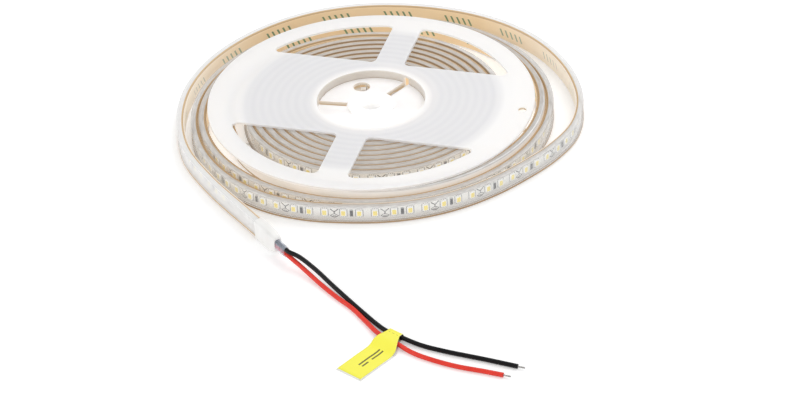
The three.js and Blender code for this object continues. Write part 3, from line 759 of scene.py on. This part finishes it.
# Tan backing tape with plain slanted green marks in groups of five
tapeLook = {
    "slant": 0.45,
    "group": 34.0,  # mm along
    "stroke": 3.4,
    "strokeAt": (1.0, 0.55),
    "marksUp": (5.0, 1.9),  # middle and half height
    "green": (0.045, 0.17, 0.08),
    "edge": (0.40, 0.265, 0.145),
    "pale": (0.95, 0.92, 0.86),
    "backMiddle": 270.0,  # mm before the line's end
    "outermost": 600.0,
    "paling": (60.0, 130.0),  # mm from the back's middle
}
tapeLine = stripLine(stripSpec, stripSpec["plugHead"])
tapeLength = float(lengthsAlong(tapeLine)[-1])
tanTape, tapeInputs, tapeColour = mottled(
    "tanTape", (0.80, 0.605, 0.375), (0.73, 0.53, 0.315), patch=70.0, grain=2200.0, roughness=0.5,
    spread=0.15, Emission_Strength=0.22)
tapeS, tapeV = mapPlaces(tanTape.node_tree, "along")
slanted = scaled(tapeV, -tapeLook["slant"], tapeS)
strokes = near(mathNode("FLOORED_MODULO", slanted, tapeLook["stroke"]), *tapeLook["strokeAt"])
groups = below(mathNode("FLOORED_MODULO", slanted, tapeLook["group"]), tapeLook["group"] / 2)
green = times(strokes, groups, near(tapeV, *tapeLook["marksUp"]), 0.85)
tapeTop = above(tapeV, stripSpec["tape"][3] - 0.05)
# The outermost turn's tape is palest at the right and the left, where the sleeve stands against the light
pale = ramp(distance(tapeS, tapeLength - tapeLook["backMiddle"]), *tapeLook["paling"])
pale = times(pale, above(tapeS, tapeLength - tapeLook["outermost"]), 0.6)
tapeFace = painted(
    tapeColour, (green, tapeLook["green"]), (tapeTop, tapeLook["edge"]), (pale, tapeLook["pale"]))
glowingFace(tapeFace, tapeInputs)
makeStripPiece("backingTape", tapeLine, tanTape, "tan_liner", "backing_tape", "tape")

# Flexible circuit: white ribbon with pads and a cut line in each segment
circuitSpec = {
    "segment": 25.0,
    "phase": 4.65,  # mm from the line's start to a cut mark
    "leds": (0.181, 0.497, 0.806),  # shares of a segment past the cut mark
    "resistor": 0.343,
    "from": 2150.0,  # mm along the line, where the first chips stand
    "clearEnd": 12.0,
    "ink": (0.03, 0.028, 0.028),
    "paleInk": (0.14, 0.14, 0.16),
}
segment, phase = circuitSpec["segment"], circuitSpec["phase"]
circuitWhite, circuitInputs, circuitColour = mottled(
    "circuitWhite", (0.90, 0.89, 0.86), (0.84, 0.82, 0.78), patch=150.0, grain=2600.0, Emission_Strength=0.12)
circuitS, circuitV = mapPlaces(circuitWhite.node_tree, "along")


# Distance in mm along the ribbon from the nearest place that lies so many mm past a cut mark
def fromPlace(past):
    shifted = minus(circuitS, phase + past - segment / 2)
    return distance(mathNode("FLOORED_MODULO", shifted, segment), segment / 2)


# Cut mark: the edges of the four pads draw an upper and a lower bow, with a stroke and a bar between
fromCut = fromPlace(0.0)
cutSquared = times(fromCut, fromCut)
aboveMiddle = minus(circuitV, middleHeight)
offMiddle = distance(circuitV, middleHeight)
bows = [
    near(scaled(fromCut, -0.85, aboveMiddle), 0.35, 0.3),
    near(scaled(cutSquared, -0.25, aboveMiddle), -2.7, 0.26),
    near(scaled(cutSquared, 0.30, aboveMiddle), -0.85, 0.16),
]
stroke = times(below(fromCut, 0.26), near(aboveMiddle, 0.0, 0.75))
bar = times(below(fromCut, 0.9), near(aboveMiddle, -1.9, 0.16))
marks = times(below(fromCut, 2.1), either(*bows, stroke, bar), 0.97)
# Printed frames round the emitters, and short dashes along the top
topDashes = mathNode("PINGPONG", minus(circuitS, phase - segment / 2), 2.1)
silk = times(near(circuitV, 8.6, 0.18), near(topDashes, 2.1, 1.1))
for share in circuitSpec["leds"]:
    fromLed = fromPlace(share * segment)
    dashes = near(mathNode("PINGPONG", fromLed, 0.5), 0.0, 0.32)
    rails = times(below(fromLed, 1.8), near(offMiddle, 2.3, 0.2), dashes)
    posts = times(near(fromLed, 1.85, 0.2), below(offMiddle, 2.1))
    silk = either(silk, rails, posts)
circuitFace = painted(circuitColour, (marks, circuitSpec["ink"]), (times(silk, 0.85), circuitSpec["paleInk"]))
glowingFace(circuitFace, circuitInputs)
circuitLine = stripLine(stripSpec, stripSpec["circuitStart"], stripSpec["circuitOverlap"])
makeStripPiece("flexCircuit", circuitLine, circuitWhite, "circuit", "flex_circuit", "circuit")


# Copies of one small shape stood on the circuit: rounded rectangles at rising heights, each drawn in from the
# half sizes by its insets, closed over at the top and the bottom. Kinds are the materials from ring to ring
def standChips(name, spec, places, materials):
    perCorner = 3
    halfAlong, halfUp = spec["half"]
    rings, kinds = spec["rings"], spec["kinds"]
    n, rows, count = 4 * perCorner, len(rings), len(places)
    loops = []
    for insetAlong, insetUp, corner, height in rings:
        a, b = halfAlong - insetAlong, halfUp - insetUp
        loops.append(np.column_stack([roundedRectangle(-a, a, -b, b, corner, perCorner), np.full(n, height)]))
    shape = np.vstack([*loops, [0, 0, rings[-1][3]], [0, 0, rings[0][3]]])
    caps = np.vstack([fan(rows * n, (rows - 1) * n, n, turnedOver=True), fan(rows * n + 1, 0, n)])
    faceSets = outwards(shape, [gridQuads(rows, n, closeColumns=True), caps])
    values = (circuitLine, *directions(circuitLine))
    spot, forward, outward = (readAlong(circuitLine, value, places)[:, None] for value in values)
    foot = spot + outward * stripSpec["circuit"][1] + upward * middleHeight
    x, y, z = shape.T[:, None, :, None]
    points = (foot + forward * x + upward * y + outward * z).reshape(-1, 3)
    shift = (np.arange(count) * len(shape))[:, None, None]
    copies = outwards(points, [(faces[None] + shift).reshape(-1, faces.shape[1]) for faces in faceSets])
    onSides, onCaps = np.repeat(kinds[:-1], n), np.repeat([kinds[-1], kinds[0]], n)
    faceMaterial = np.concatenate([np.tile(onSides, count), np.tile(onCaps, count)])
    makePiece(name, points, copies, materials, "circuit", faceMaterial=faceMaterial)


ledSpec = {
    "half": (1.4, 1.75),
    "rings": (
        (0.0, 0.0, 0.15, -0.05), (0.03, 0.03, 0.18, 0.74), (0.09, 0.09, 0.18, 0.8), (0.32, 0.34, 0.3, 0.8),
        (0.37, 0.39, 0.3, 0.7), (0.45, 0.5, 0.3, 0.71), (1.05, 1.25, 0.2, 0.75),
    ),  # insets along and up, corner and height
    "kinds": (0, 0, 0, 0, 1, 1, 1),
}
resistorSpec = {
    "half": (0.8, 1.95),
    "rings": (
        (0.0, 0.0, 0.05, -0.05), (0.0, 0.0, 0.05, 0.45), (0.06, 0.06, 0.05, 0.5), (0.06, 0.35, 0.05, 0.52),
    ),
    "kinds": (1, 1, 1, 0),
}
# Painted glow: the packages and the phosphor give off a little light in their own colours
ledWhite = mottled(
    "ledWhite", (0.94, 0.93, 0.91), (0.89, 0.88, 0.86), patch=500.0, grain=4000.0, roughness=0.35,
    Emission_Color=(1.0, 1.0, 0.98), Emission_Strength=0.22)[0]
phosphor = mottled(
    "phosphor", (0.92, 0.75, 0.17), (0.86, 0.66, 0.13), patch=700.0, grain=5000.0, roughness=0.3,
    Emission_Color=(0.95, 0.80, 0.22), Emission_Strength=0.16)[0]
chipBlack = mottled("chipBlack", (0.010, 0.010, 0.012), (0.025, 0.025, 0.03), patch=900.0, grain=4000.0)[0]
chipMetal = mottled(
    "chipMetal", (0.58, 0.58, 0.58), (0.42, 0.42, 0.43), patch=900.0, grain=4000.0, Metallic=0.6)[0]
circuitEnd = lengthsAlong(circuitLine)[-1] - circuitSpec["clearEnd"]
cutNumbers = [(place - phase) / segment for place in (circuitSpec["from"], circuitEnd)]
cuts = np.arange(math.ceil(cutNumbers[0]), math.floor(cutNumbers[1])) * segment + phase
ledPlaces = (cuts[:, None] + np.array(circuitSpec["leds"]) * segment).ravel()
standChips("ledPackages", ledSpec, ledPlaces, [ledWhite, phosphor])
standChips("resistors", resistorSpec, cuts + circuitSpec["resistor"] * segment, [chipBlack, chipMetal])
print("tape, circuit,", len(ledPlaces), "emitters and", len(cuts), "resistors made")

# Plug at the hub end, seated in the sleeve
plugLength = 1.5
capMilky = silicone("capMilky", (0.90, 0.895, 0.88), (0.84, 0.835, 0.81), 0.55, 0.95, 0.36, 0.15)[0]
hubEnd = stripLine(stripSpec, 0.0)
plugLine = readAlong(hubEnd, hubEnd, np.linspace(0.0, plugLength, 6))
makeStripPiece("innerEndPlug", plugLine, capMilky, "clear_silicone", "inner_end_plug", "sleeve")

# Lead-end cap: a loft that grows over the sleeve, then draws in towards the wires
capSpec = {
    "length": 18.0,
    "half": (2.6, 5.85),  # across and up
    "corner": 1.3,
    "perCorner": 7,
    "stations": (
        (0.0, 0.93, 0.95), (0.35, 1.0, 1.0), (6.0, 1.0, 1.0), (10.5, 0.99, 0.985), (13.5, 0.96, 0.94),
        (16.0, 0.90, 0.84), (17.5, 0.85, 0.755), (18.0, 0.78, 0.70),
    ),  # mm along, and shares of the half sizes
    "pocket": (1.92, 5.17, 0.2),  # half sizes and corner
    "pocketDepth": 9.0,
    "bore": (1.87, 3.12, 1.6),
}
shrinkSpec = {"start": 11.0, "length": 15.0, "inner": (1.35, 2.6), "wall": 0.35}


# Rounded rectangle about the sleeve's middle
def section(halfU, halfV, radius):
    sides = (sleeveMiddle - halfU, sleeveMiddle + halfU, middleHeight - halfV, middleHeight + halfV)
    return roundedRectangle(*sides, radius, capSpec["perCorner"])


# A hollow piece along the cap's line: outer and inner rings at stations, joined at both ends
def makeCapPiece(name, outerRings, innerRings, material, slot, node):
    loop = np.stack([
        capOrigin + capAlong * s + capOut * ring[:, 0, None] + upward * ring[:, 1, None]
        for s, ring in outerRings + innerRings[::-1]
    ])
    points = loop.reshape(-1, 3)
    quads = gridQuads(len(loop), loop.shape[1], closeColumns=True, closeRows=True)
    makePiece(name, points, outwards(points, [quads]), [material], slot, [node])


halfU, halfV = capSpec["half"]
outerRings = [
    (s, section(halfU * ku, halfV * kv, min(capSpec["corner"], halfU * ku * 0.9)))
    for s, ku, kv in capSpec["stations"]
]
pocket, bore, depth = section(*capSpec["pocket"]), section(*capSpec["bore"]), capSpec["pocketDepth"]
innerRings = [(0.0, pocket), (depth, pocket), (depth + 0.02, bore), (capSpec["length"], bore)]
makeCapPiece("leadEndCap", outerRings, innerRings, capMilky, "milky_silicone", "lead_end_cap")
clearTube = silicone("clearTube", (0.74, 0.80, 0.92), (0.68, 0.74, 0.86), 0.05, 0.5, 0.12, 0.06)[0]
innerU, innerV = shrinkSpec["inner"]
outerU, outerV = innerU + shrinkSpec["wall"], innerV + shrinkSpec["wall"]
tubeOuter, tubeInner = section(outerU, outerV, outerU - 0.02), section(innerU, innerV, innerU - 0.02)
stations = shrinkSpec["start"] + shrinkSpec["length"] * np.array([0.0, 0.5, 1.0])
outerRings, innerRings = [(s, tubeOuter) for s in stations], [(s, tubeInner) for s in stations]
makeCapPiece("shrinkTube", outerRings, innerRings, clearTube, "clear_tube", "shrink_tube")
print("cap, tube and plug made")

# Reel half: a revolved section with its windows, slots and holes cut out, in mm and degrees
reelSpec = {
    "radius": 85.0,
    "flange": 1.2,
    "half": 6.75,
    "hubBore": 28.0,
    "hubWall": 1.5,
    "recess": 4.5,
    "floor": 1.5,
    "seat": 0.15,
    "spindle": 6.0,
    "collar": 2.0,
    "boss": 12.0,
    "bossRise": 1.6,
    "drive": (103.6, 20.0, 4.4),  # round holes: angle, distance from the axis and radius
    "endHole": (-13.0, 79.5, 2.0),
    "slotWidth": 3.4,
    "slotStart": 13.0,
    "slotPastWall": 0.4,
    "slotAngles": (48.0, 168.0, 288.0),
    "window": 74.5,
    "chord": 35.5,
    "spoke": 15.6,
    "corner": 3.0,
    "tip": 3.0,
    "spokeAngle": 73.3,
    "segments": 192,
    "bevel": 0.32,
    "bevelAngle": 40.0,
}


def arcPoints(cx, cy, radius, start, end, count):
    turn = np.linspace(start, end, count)
    return np.stack([cx + radius * np.cos(turn), cy + radius * np.sin(turn)], axis=1)


# Place and radius of a round hole given by its angle, its distance from the axis and its radius
def holePlace(angle, offset, radius):
    turn = math.radians(angle)
    return offset * math.cos(turn), offset * math.sin(turn), radius


# Window outline: the space between a chord, the spoke's side and an arc, with rounded corners
def windowOutline(spec):
    side, chord, radius = spec["spoke"] / 2, spec["chord"], spec["window"]
    corner, tip = spec["corner"], spec["tip"]
    tipX = math.sqrt((radius - tip) ** 2 - (chord + tip) ** 2)
    tipAngle = math.atan2(chord + tip, tipX)
    topY = math.sqrt((radius - corner) ** 2 - (side + corner) ** 2)
    topAngle = math.atan2(topY, side + corner)
    return np.vstack([
        arcPoints(side + corner, chord + corner, corner, math.pi, 1.5 * math.pi, 10),
        arcPoints(tipX, chord + tip, tip, -math.pi / 2, tipAngle, 10),
        arcPoints(0, 0, radius, tipAngle, topAngle, 34)[1:-1],
        arcPoints(side + corner, topY, corner, topAngle, math.pi, 10),
    ])


# A prism of an outline between two heights, as points and polygon lists
def prismLists(outline, bottom, top, offset):
    n = len(outline)
    points = np.vstack([np.column_stack([outline, np.full(n, z)]) for z in (bottom, top)])
    i = np.arange(n)
    k = (i + 1) % n
    walls = np.stack([i, k, k + n, i + n], axis=1) + offset
    return points, [(i[::-1] + offset).tolist(), (i + n + offset).tolist(), *walls.tolist()]


def turned(outline, degrees):
    c, s = math.cos(math.radians(degrees)), math.sin(math.radians(degrees))
    return outline @ np.array([[c, s], [-s, c]])


# A profile of distance and height, turned once round the axis, less the prisms of all the openings
def reelHalfMesh(spec):
    bore, spindle, half = spec["hubBore"], spec["spindle"], spec["half"]
    collar, wall = spindle + spec["collar"], bore + spec["hubWall"]
    under, floorTop = half - spec["flange"], half - spec["recess"]
    floorUnder, bossTop = floorTop - spec["floor"], floorTop + spec["bossRise"]
    profile = np.array([
        (spindle, spec["seat"]), (collar, spec["seat"]), (collar, floorUnder), (bore, floorUnder),
        (bore, spec["seat"]), (wall, spec["seat"]), (wall, under), (spec["radius"], under),
        (spec["radius"], half), (bore, half), (bore, floorTop), (spec["boss"], floorTop),
        (spec["boss"], bossTop), (spindle, bossTop),
    ])
    turn = np.linspace(0, fullTurn, spec["segments"], endpoint=False)[:, None]
    distances, heights = profile.T[:, None, :]
    ring = np.stack([distances * np.cos(turn), distances * np.sin(turn), heights + 0 * turn], axis=-1)
    body = ring.reshape(-1, 3)
    quads = outwards(body, [gridQuads(*ring.shape[:2], closeColumns=True, closeRows=True)])[0]
    solid = addObject("reelBlank", meshFromLists("reelBlank", body * mm, quads.tolist()))
    through = (under - 1, half + 1)
    prisms = []
    for sx, sy in ((1, 1), (-1, 1), (-1, -1), (1, -1)):
        window = windowOutline(spec) * np.array([sx, sy])
        prisms.append((turned(window[:: sx * sy], spec["spokeAngle"] - 90), *through))
    start, end, side = spec["slotStart"], wall + spec["slotPastWall"], spec["slotWidth"] / 2
    slot = np.array([(start, -side), (end, -side), (end, side), (start, side)])
    prisms += [(turned(slot, angle), -1.0, under) for angle in spec["slotAngles"]]
    for hole, sides, *reach in (("drive", 48, 0.0, half), ("endHole", 32, *through)):
        prisms.append((arcPoints(*holePlace(*spec[hole]), 0, fullTurn, sides + 1)[:-1], *reach))
    cutPoints, cutFaces = np.empty((0, 3)), []
    for prism in prisms:
        points, faces = prismLists(*prism, len(cutPoints))
        cutPoints = np.vstack([cutPoints, points])
        cutFaces += faces
    cutter = addObject("reelCutter", meshFromLists("reelCutter", cutPoints * mm, cutFaces))
    cut = solid.modifiers.new("cut", "BOOLEAN")
    cut.operation = "DIFFERENCE"
    cut.solver = "EXACT"
    cut.object = cutter
    bpy.context.view_layer.update()
    mesh = bpy.data.meshes.new_from_object(solid.evaluated_get(bpy.context.evaluated_depsgraph_get()))
    for temporary in (solid, cutter):
        bpy.data.objects.remove(temporary, do_unlink=True)
    return mesh


# Masks seen from above, over x and y in mm from the axis: of a round hole, and of one floor slot
def holeMask(x, y, hole, wider):
    cx, cy, radius = holePlace(*hole)
    awayX, awayY = minus(x, cx), minus(y, cy)
    return below(mathNode("ADD", times(awayX, awayX), times(awayY, awayY)), (radius + wider) ** 2)


def slotMask(x, y, degrees):
    c, s = math.cos(math.radians(degrees)), math.sin(math.radians(degrees))
    outward, sideways = scaled(y, s, times(x, c)), scaled(y, c, times(x, -s))
    start, side = reelSpec["slotStart"] - 0.05, reelSpec["slotWidth"] / 2 + 0.06
    return times(above(outward, start), near(sideways, 0.0, side))


# Painted light and shade in the plastic, standing in for light carried into it: a darker, warmer colour in
# the hub, its openings and the end hole, and a painted glow, strongest on the near side
reelLook = {
    "rings": 0.05,
    "ringsOver": ((29.0, 32.0), (70.0, 64.0)),  # mm from the axis, fading in and out
    "hubTo": 28.2,
    "wallFrom": 27.7,
    "channelFrom": 29.2,
    "spindleTo": 8.5,
    "flangeFrom": 5.0,  # mm up or down from the reel's middle
    "channelTo": 5.7,
    "gapTo": 0.9,
    "openingsTo": 2.25,
    "nearSide": (-5.25, -12.25),  # mm towards the front
}
reelPlastic, reelInputs, reelColour = mottled(
    "reelPlastic", (0.95, 0.95, 0.95), (0.93, 0.93, 0.935), patch=35.0, grain=1400.0, amount=0.6,
    roughness=0.38, spread=0.12, bump=0.000015, Subsurface_Weight=1.0, Subsurface_Radius=(1.0, 1.0, 0.95),
    Subsurface_Scale=0.0025, Emission_Strength=1.0)
x, y, z = axes(objectPlaces(reelPlastic.node_tree))
x, y = (scaled(minus(value, float(centre)), 1 / mm) for value, centre in zip((x, y), reelCentre))
height = scaled(z, 1 / mm, -reelSpec["half"])
fromMiddle = mathNode("ABSOLUTE", height)
fromAxis = mathNode("SQRT", mathNode("ADD", times(x, x), times(y, y)))
# The wound turns show through the flange as faint rings: a spiral of the coil's pitch, under the coil only
turns = times(mathNode("ARCTAN2", y, x), 1 / fullTurn)
phaseRound = times(minus(times(fromAxis, 1 / stripSpec["pitch"]), turns), fullTurn)
ringWave = scaled(mathNode("SINE", phaseRound), reelLook["rings"], 0.5, clamp=True)
rings = times(ringWave, *(ramp(fromAxis, *fade) for fade in reelLook["ringsOver"]))
rings = times(rings, above(fromMiddle, reelLook["flangeFrom"]))
inHub = below(fromAxis, reelLook["hubTo"])
onWall = times(inHub, above(fromAxis, reelLook["wallFrom"]))
onChannel = times(below(fromMiddle, reelLook["channelTo"]), above(fromAxis, reelLook["channelFrom"]))
atSpindle = below(fromAxis, reelLook["spindleTo"])
nearSide = times(inHub, ramp(y, *reelLook["nearSide"]))
restOfHub = times(inHub, scaled(nearSide, -1.0, 1.0))
between = times(restOfHub, below(fromMiddle, reelLook["gapTo"]))
slots = [slotMask(x, y, angle) for angle in reelSpec["slotAngles"]]
openings = either(*slots, holeMask(x, y, reelSpec["drive"], 0.06))
openings = times(openings, restOfHub, below(height, reelLook["openingsTo"]))
atEndHole = holeMask(x, y, reelSpec["endHole"], 0.05)
# Painted shade: darker and warmer on the hub's wall, between the floors, in the openings and at the end hole;
# the spindle's hole is kept pale
reelFace = painted(
    reelColour, (rings, (0.64, 0.645, 0.685)), (times(onWall, 0.8), (0.60, 0.55, 0.49)),
    (between, (0.55, 0.46, 0.35)), (openings, (0.62, 0.575, 0.52)), (atEndHole, (0.62, 0.55, 0.46)),
    (atSpindle, (0.94, 0.94, 0.94)))
plug(reelFace, reelInputs["Base Color"])
# Painted glow: over the channel's faces and the hub, warm between the floors and in the openings, faint at
# the end hole, none on the wall, white at the spindle and strongest on the near side
reelGlow = painted(
    (0.0, 0.0, 0.0), (onChannel, (0.31, 0.315, 0.32)), (atEndHole, (0.05, 0.035, 0.02)),
    (inHub, (0.09, 0.088, 0.09)), (onWall, (0.0, 0.0, 0.0)), (between, (0.22, 0.18, 0.13)),
    (openings, (0.17, 0.155, 0.135)), (atSpindle, (0.20, 0.195, 0.19)), (nearSide, (0.30, 0.295, 0.29)))
plug(reelGlow, reelInputs["Emission Color"])


# The half made above is the upper one; the lower one is turned over about the spoke's line
def makeReelHalf(name, mesh, nodes, turnedOver):
    points = np.empty(len(mesh.vertices) * 3)
    mesh.vertices.foreach_get("co", points)
    points = points.reshape(-1, 3)
    if turnedOver:
        turn = math.radians(reelSpec["spokeAngle"])
        axis = np.array([math.cos(turn), math.sin(turn), 0.0])
        points = 2 * (points @ axis)[:, None] * axis - points
    points = points + reelCentre + upward * reelSpec["half"] * mm
    mesh.vertices.foreach_set("co", points.ravel())
    mesh.shade_smooth()
    mesh.materials.clear()
    mesh.materials.append(reelPlastic)
    mesh.update()
    piece = addObject(name, mesh)
    bevel = piece.modifiers.new("edges", "BEVEL")
    bevel.width = reelSpec["bevel"] * mm
    bevel.segments = 2
    bevel.limit_method = "ANGLE"
    bevel.angle_limit = math.radians(reelSpec["bevelAngle"])
    normals = piece.modifiers.new("normals", "WEIGHTED_NORMAL")
    normals.keep_sharp = False
    declare(piece, nodes)


halfMesh = reelHalfMesh(reelSpec)
makeReelHalf("lowerReelHalf", halfMesh.copy(), ("lower_flange", "lower_hub"), True)
makeReelHalf("upperReelHalf", halfMesh, ("upper_flange", "upper_hub"), False)
print("reel halves made")

# Floor, world and lamps: pale, plain and soft
studio = {
    "floorHalf": 6.0,  # metres
    "floorShade": 0.86,
    "floorSeen": 0.27,  # added where the floor is only looked at, and lights nothing
    "world": 0.62,
    "aim": (0.0, -0.05, 0.0),
    "lamps": {
        "keyLamp": ((0.55, 0.75, 1.25), 1.1, 10.0),  # place and size in metres, and watts
        "leftLamp": ((-1.5, -0.3, 0.6), 1.2, 6.0),
        "frontLamp": ((0.1, -1.5, 0.5), 1.0, 5.0),
    },
}
floorWhite, floorTree, floorInputs = newMaterial(
    "floorWhite", (studio["floorShade"],) * 3, 0.9, Specular_IOR_Level=0.0, Emission_Color=(1.0, 1.0, 1.0))
rays = floorTree.nodes.new("ShaderNodeLightPath").outputs
seen = either(*(rays[kind] for kind in ("Is Camera Ray", "Is Glossy Ray", "Is Transmission Ray")))
plug(times(seen, studio["floorSeen"]), floorInputs["Emission Strength"])
floorCorners = np.array([(-1, -1, 0), (1, -1, 0), (1, 1, 0), (-1, 1, 0)]) * studio["floorHalf"]
floorMesh = meshFromLists("floor", floorCorners, [(0, 1, 2, 3)])
floorMesh.materials.append(floorWhite)
addObject("floor", floorMesh)

world = bpy.data.worlds.new("studio")
bpy.context.scene.world = world
world.use_nodes = True
background = world.node_tree.nodes["Background"].inputs
plug((1.0, 1.0, 1.0), background["Color"])
plug(studio["world"], background["Strength"])


def softLamp(name, place, size, energy):
    data = bpy.data.lights.new(name, "AREA")
    data.shape = "SQUARE"
    data.size = size
    data.energy = energy
    back = np.array(place) - np.array(studio["aim"])
    back = back / np.linalg.norm(back)
    side = np.cross(upward, back)
    side = side / np.linalg.norm(side)
    stand(addObject(name, data), place, side, np.cross(back, side), back)


for name, (place, size, energy) in studio["lamps"].items():
    softLamp(name, place, size, energy)

bpy.context.scene.view_settings.view_transform = "Standard"
